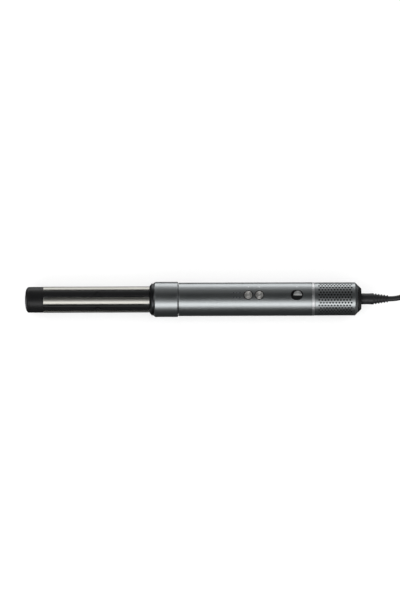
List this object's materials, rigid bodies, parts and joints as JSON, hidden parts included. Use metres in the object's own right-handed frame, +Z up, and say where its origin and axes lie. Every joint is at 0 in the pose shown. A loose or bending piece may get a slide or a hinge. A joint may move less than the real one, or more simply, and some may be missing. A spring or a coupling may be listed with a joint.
{
  "type": "curling iron",
  "caption": "Corded hot-air curling iron: slotted round barrel that pushes onto a metal handle with buttons, slide switch, filter sleeve and swivel cord boot.",
  "frame": {"origin": "centre of the bottom of the iron's box, on the surface it lies on, measured without the free cord and plug", "axes": "+X along the iron's axis from the barrel's tip towards the cord, +Z up with the buttons and slide switch on top, +Y completing a right-handed frame"},
  "size_m": [0.6749, 0.0584, 0.0426],
  "materials": {
    "gunmetal": "satin metallic",
    "blade_metal": "warm satin, brushed along the barrel",
    "black_plastic": "satin black, heat resistant",
    "dark_ring": "dark satin",
    "bright_trim": "polished",
    "button_metal": "spun",
    "inner_plastic": "moulded",
    "steel": "plain",
    "seal_rubber": "matt silicone",
    "spring_bronze": "plain",
    "mica": "layered mica",
    "resistance_wire": "oxidised",
    "copper": "enamelled winding",
    "board_green": "solder resist",
    "light_lens": "smoked",
    "slider_metal": "satin",
    "mesh_black": "fine woven mesh",
    "cord_black": "satin jacket",
    "tie_black": "hook and loop",
    "lead_red": "insulation"
  },
  "bodies": {
    "handle": {"nose_spigot": "inner_plastic", "grip_ring": "spring_bronze", "handle_shell": "gunmetal", "inner_frame": "inner_plastic", "heater_shroud": "mica", "heater_cards": "mica", "heater_coil": "resistance_wire", "thermal_cutout": "mica", "motor_mount": "inner_plastic", "motor_housing": "steel", "motor_stator": "copper", "motor_bearings": "steel", "control_board": "board_green", "board_screws": "steel", "tact_switches": "inner_plastic", "switch_body": "inner_plastic", "indicator_lights": "light_lens", "button_bezels": "black_plastic", "slide_bezel": "black_plastic", "trim_ring": "bright_trim", "filter_core": "inner_plastic", "filter_mesh": "mesh_black", "rear_cap": "black_plastic", "swivel_cup": "inner_plastic", "power_leads": "lead_red", "cord_lead": "cord_black", "cord_hank": "cord_black", "cord_tie": "tie_black", "cord_tail": "cord_black", "plug_relief": "cord_black", "plug_body": "cord_black", "plug_pins": "steel"},
    "barrel": {"tip_plate": "slider_metal", "tip_cap": "black_plastic", "tip_screw": "steel", "barrel_core": "inner_plastic", "air_blades": "blade_metal", "barrel_panels": "black_plastic", "shoulder_ring": "dark_ring", "coupling_collar": "gunmetal", "coupling_hub": "inner_plastic", "coupling_seal": "seal_rubber"},
    "fan": {"rotor_shaft": "steel", "impeller": "inner_plastic"},
    "airflow_key": {"airflow_button": "button_metal"},
    "heat_key": {"heat_button": "button_metal"},
    "power_nub": {"power_slider": "slider_metal"},
    "sleeve": {"filter_sleeve": "gunmetal"},
    "boot": {"cord_boot": "cord_black"}
  },
  "joints": [
    {"name": "barrel_pull", "type": "slide", "parent": "handle", "child": "barrel", "axis": [-1, 0, 0], "range_m": [0, 0.025]},
    {"name": "fan_spin", "type": "hinge", "parent": "handle", "child": "fan", "pos_m": [0.09, 0, 0.0213], "axis": [1, 0, 0], "continuous": true},
    {"name": "airflow_press", "type": "slide", "parent": "handle", "child": "airflow_key", "axis": [0, 0, -1], "range_m": [0, 0.0008], "stiffness_N_per_m": 600, "springref_m": -0.001},
    {"name": "heat_press", "type": "slide", "parent": "handle", "child": "heat_key", "axis": [0, 0, -1], "range_m": [0, 0.0008], "stiffness_N_per_m": 600, "springref_m": -0.001},
    {"name": "power_slide", "type": "slide", "parent": "handle", "child": "power_nub", "axis": [-1, 0, 0], "range_m": [0, 0.002]},
    {"name": "sleeve_pull", "type": "slide", "parent": "handle", "child": "sleeve", "axis": [1, 0, 0], "range_m": [0, 0.05]},
    {"name": "boot_swivel", "type": "hinge", "parent": "handle", "child": "boot", "pos_m": [0.2, 0, 0.0213], "axis": [1, 0, 0], "continuous": true}
  ]
}
